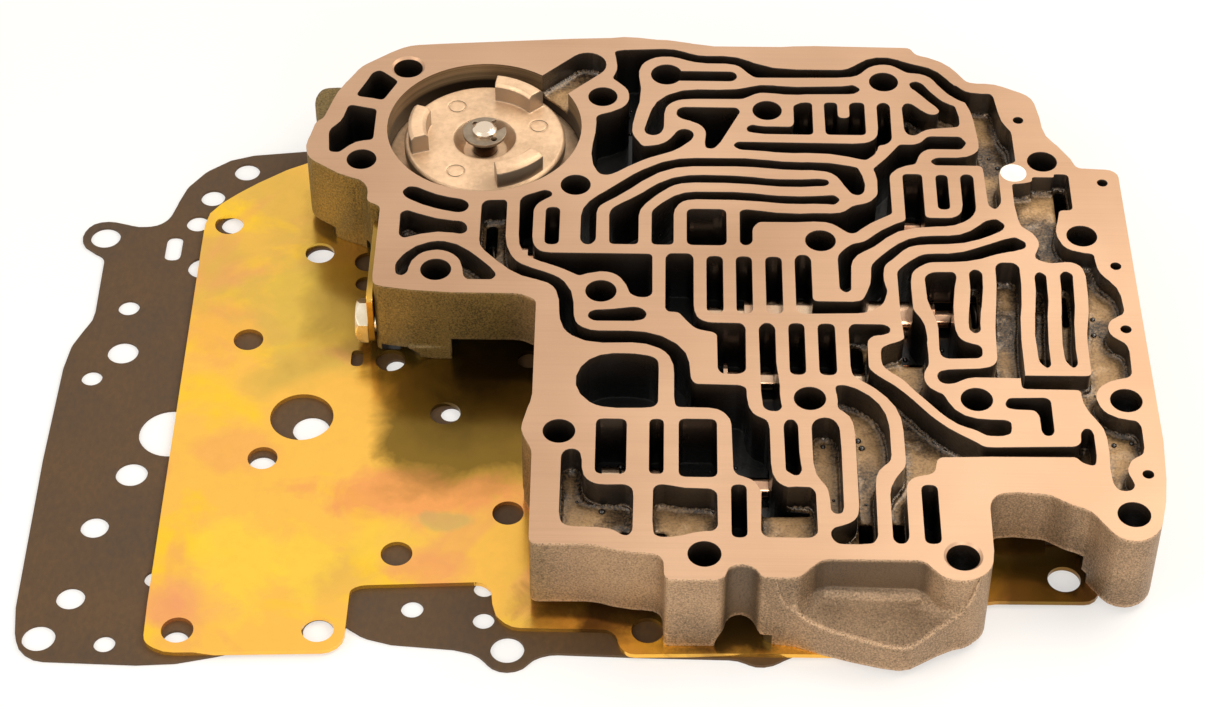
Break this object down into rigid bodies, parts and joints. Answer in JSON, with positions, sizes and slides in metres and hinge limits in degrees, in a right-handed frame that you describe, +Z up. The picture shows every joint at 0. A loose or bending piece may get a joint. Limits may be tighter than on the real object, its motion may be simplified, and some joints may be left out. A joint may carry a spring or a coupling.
{
  "type": "transmission valve body",
  "caption": "Cast-iron hydraulic valve body with worm-track passages, sliding spools and a sprung accumulator piston, lying on its separator plate and gasket.",
  "frame": {"origin": "middle of the whole layout's footprint, on the surface that it lies on", "axes": "+Z up out of the machined face, +X along the valve bores to their plugged ends, +Y away from the front ledge"},
  "size_m": [0.2656, 0.196, 0.0265],
  "materials": {
    "cast_iron": "milled face over rough cast walls",
    "yellow_zinc": "yellow chromate on zinc",
    "gasket_black": "matt fibre",
    "zinc": "bright zinc",
    "bright_steel": "ground",
    "spring_steel": "oiled",
    "die_cast": "as cast",
    "seal_black": "matt"
  },
  "bodies": {
    "valve_body": {"casting": "cast_iron", "separator_plate": "yellow_zinc", "gasket": "gasket_black", "passage_plug": "bright_steel", "cover_plate": "zinc", "cover_bolt": "zinc", "accumulator_pin": "bright_steel", "accumulator_clip": "spring_steel", "accumulator_spring": "spring_steel", "detent_spring": "spring_steel", "low_shift_spring": "spring_steel", "high_shift_spring": "spring_steel", "regulator_spring": "spring_steel", "timing_spring": "spring_steel", "pressure_spring": "spring_steel", "detent_plug": "bright_steel", "low_shift_plug": "bright_steel", "high_shift_plug": "bright_steel", "regulator_plug": "bright_steel", "pressure_plug": "bright_steel", "retaining_pins": "spring_steel"},
    "piston": {"accumulator_piston": "die_cast", "accumulator_ring": "seal_black"},
    "manual_valve": {"manual_valve": "bright_steel"},
    "detent_valve": {"detent_valve": "bright_steel"},
    "low_shift_valve": {"low_shift_valve": "bright_steel"},
    "high_shift_valve": {"high_shift_valve": "bright_steel"},
    "regulator_valve": {"regulator_valve": "bright_steel"},
    "timing_valve": {"timing_valve": "bright_steel"},
    "pressure_valve": {"pressure_valve": "bright_steel"},
    "boost_valve": {"boost_valve": "bright_steel"}
  },
  "joints": [
    {"name": "piston_slide", "type": "slide", "parent": "valve_body", "child": "piston", "axis": [0, 0, 1], "range_m": [-0.0034, 0.005], "stiffness_N_per_m": 9000, "deforming": ["accumulator_spring"]},
    {"name": "manual_slide", "type": "slide", "parent": "valve_body", "child": "manual_valve", "axis": [1, 0, 0], "range_m": [0, 0.019]},
    {"name": "detent_slide", "type": "slide", "parent": "valve_body", "child": "detent_valve", "axis": [1, 0, 0], "range_m": [0, 0.004], "stiffness_N_per_m": 600, "deforming": ["detent_spring"]},
    {"name": "low_shift_slide", "type": "slide", "parent": "valve_body", "child": "low_shift_valve", "axis": [1, 0, 0], "range_m": [0, 0.004], "stiffness_N_per_m": 600, "deforming": ["low_shift_spring"]},
    {"name": "high_shift_slide", "type": "slide", "parent": "valve_body", "child": "high_shift_valve", "axis": [1, 0, 0], "range_m": [0, 0.005], "stiffness_N_per_m": 600, "deforming": ["high_shift_spring"]},
    {"name": "regulator_slide", "type": "slide", "parent": "valve_body", "child": "regulator_valve", "axis": [1, 0, 0], "range_m": [0, 0.005], "stiffness_N_per_m": 600, "deforming": ["regulator_spring"]},
    {"name": "timing_slide", "type": "slide", "parent": "valve_body", "child": "timing_valve", "axis": [-1, 0, 0], "range_m": [0, 0.005], "stiffness_N_per_m": 600, "deforming": ["timing_spring"]},
    {"name": "pressure_slide", "type": "slide", "parent": "valve_body", "child": "pressure_valve", "axis": [1, 0, 0], "range_m": [0, 0.005], "stiffness_N_per_m": 600, "deforming": ["pressure_spring"]},
    {"name": "boost_slide", "type": "slide", "parent": "valve_body", "child": "boost_valve", "axis": [-1, 0, 0], "range_m": [0, 0.003], "stiffness_N_per_m": 600, "deforming": ["pressure_spring"]}
  ]
}
